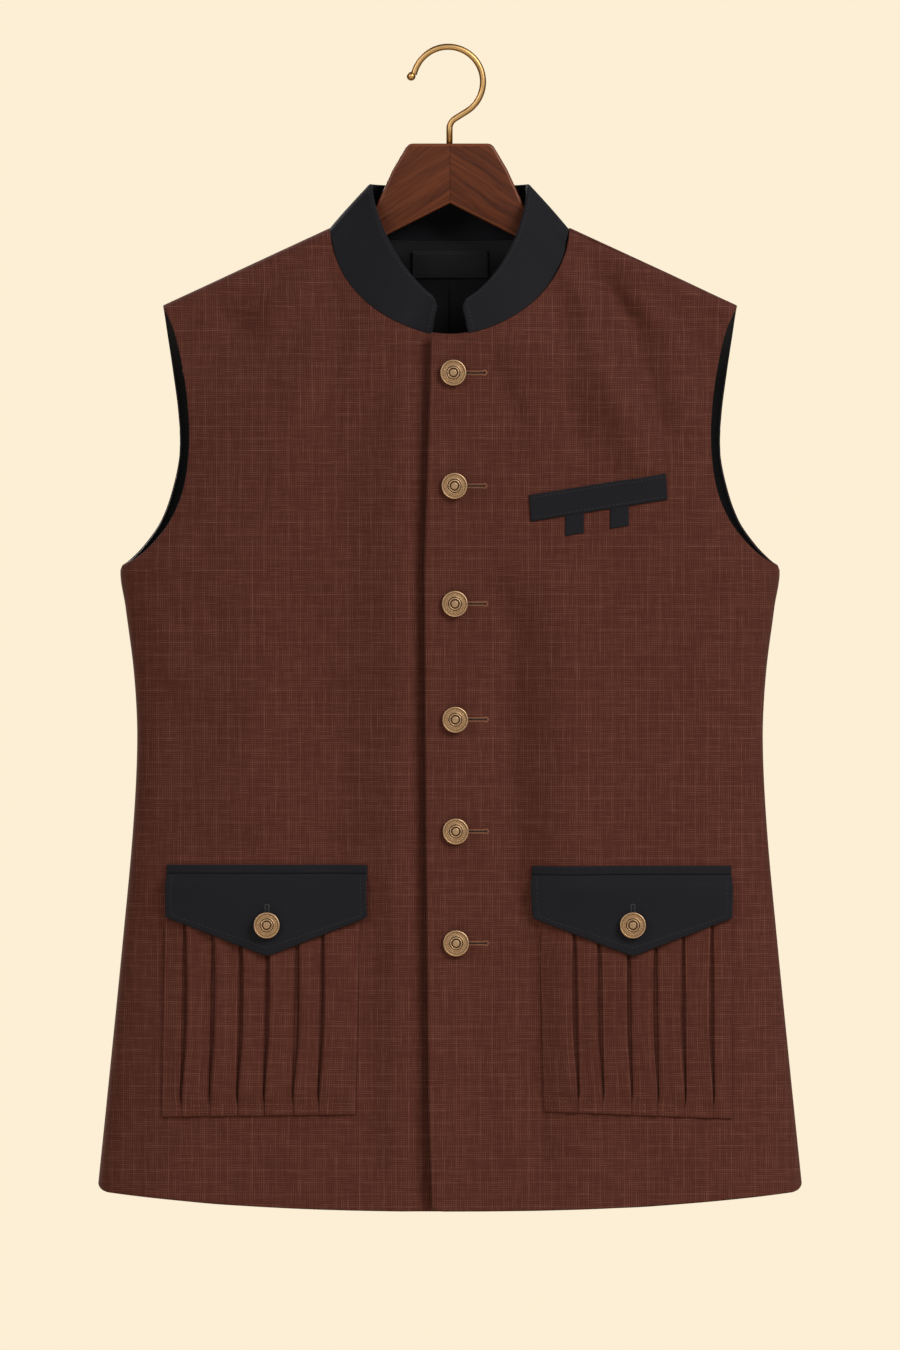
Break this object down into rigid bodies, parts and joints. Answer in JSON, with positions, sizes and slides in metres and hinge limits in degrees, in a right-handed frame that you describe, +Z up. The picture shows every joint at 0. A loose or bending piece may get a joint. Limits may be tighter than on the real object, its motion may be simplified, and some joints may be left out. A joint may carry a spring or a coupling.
{
  "type": "nehru jacket on a hanger",
  "caption": "Sleeveless buttoned Nehru jacket in dark check cloth with black stand collar, flapped pleated pockets and breast welt, hung on a wooden hanger by its hook.",
  "frame": {"origin": "inner top of the hanger's hook, where a rod bears", "axes": "+Z up, +Y towards the back of the jacket, so its front faces -Y, and +X towards the wearer's left"},
  "size_m": [0.5436, 0.0981, 0.8958],
  "materials": {
    "check_cloth": "matt woven micro-check suiting, russet and dark brown with fine copper lines",
    "black_suiting": "matt black suiting",
    "lining": "black twill lining with a slight sheen",
    "label_cloth": "blank black woven patch",
    "button_metal": "antique brass, worn bright on the raised rings",
    "walnut": "satin lacquered walnut, grain mitred at the middle",
    "hook_brass": "polished brass wire"
  },
  "bodies": {
    "root": {"back": "check_cloth", "back_lining": "lining", "breast_tab_1": "black_suiting", "breast_tab_2": "black_suiting", "breast_welt": "black_suiting", "button_flap_left": "button_metal", "button_flap_right": "button_metal", "button_front_1": "button_metal", "button_front_2": "button_metal", "button_front_3": "button_metal", "button_front_4": "button_metal", "button_front_5": "button_metal", "button_front_6": "button_metal", "collar": "black_suiting", "flap_left": "black_suiting", "flap_right": "black_suiting", "front_left": "check_cloth", "front_right": "check_cloth", "hanger": "walnut", "hanger_hook": "hook_brass", "label": "label_cloth", "pocket_left": "check_cloth", "pocket_right": "check_cloth", "pocket_welt_left": "black_suiting", "pocket_welt_right": "black_suiting"}
  },
  "joints": []
}
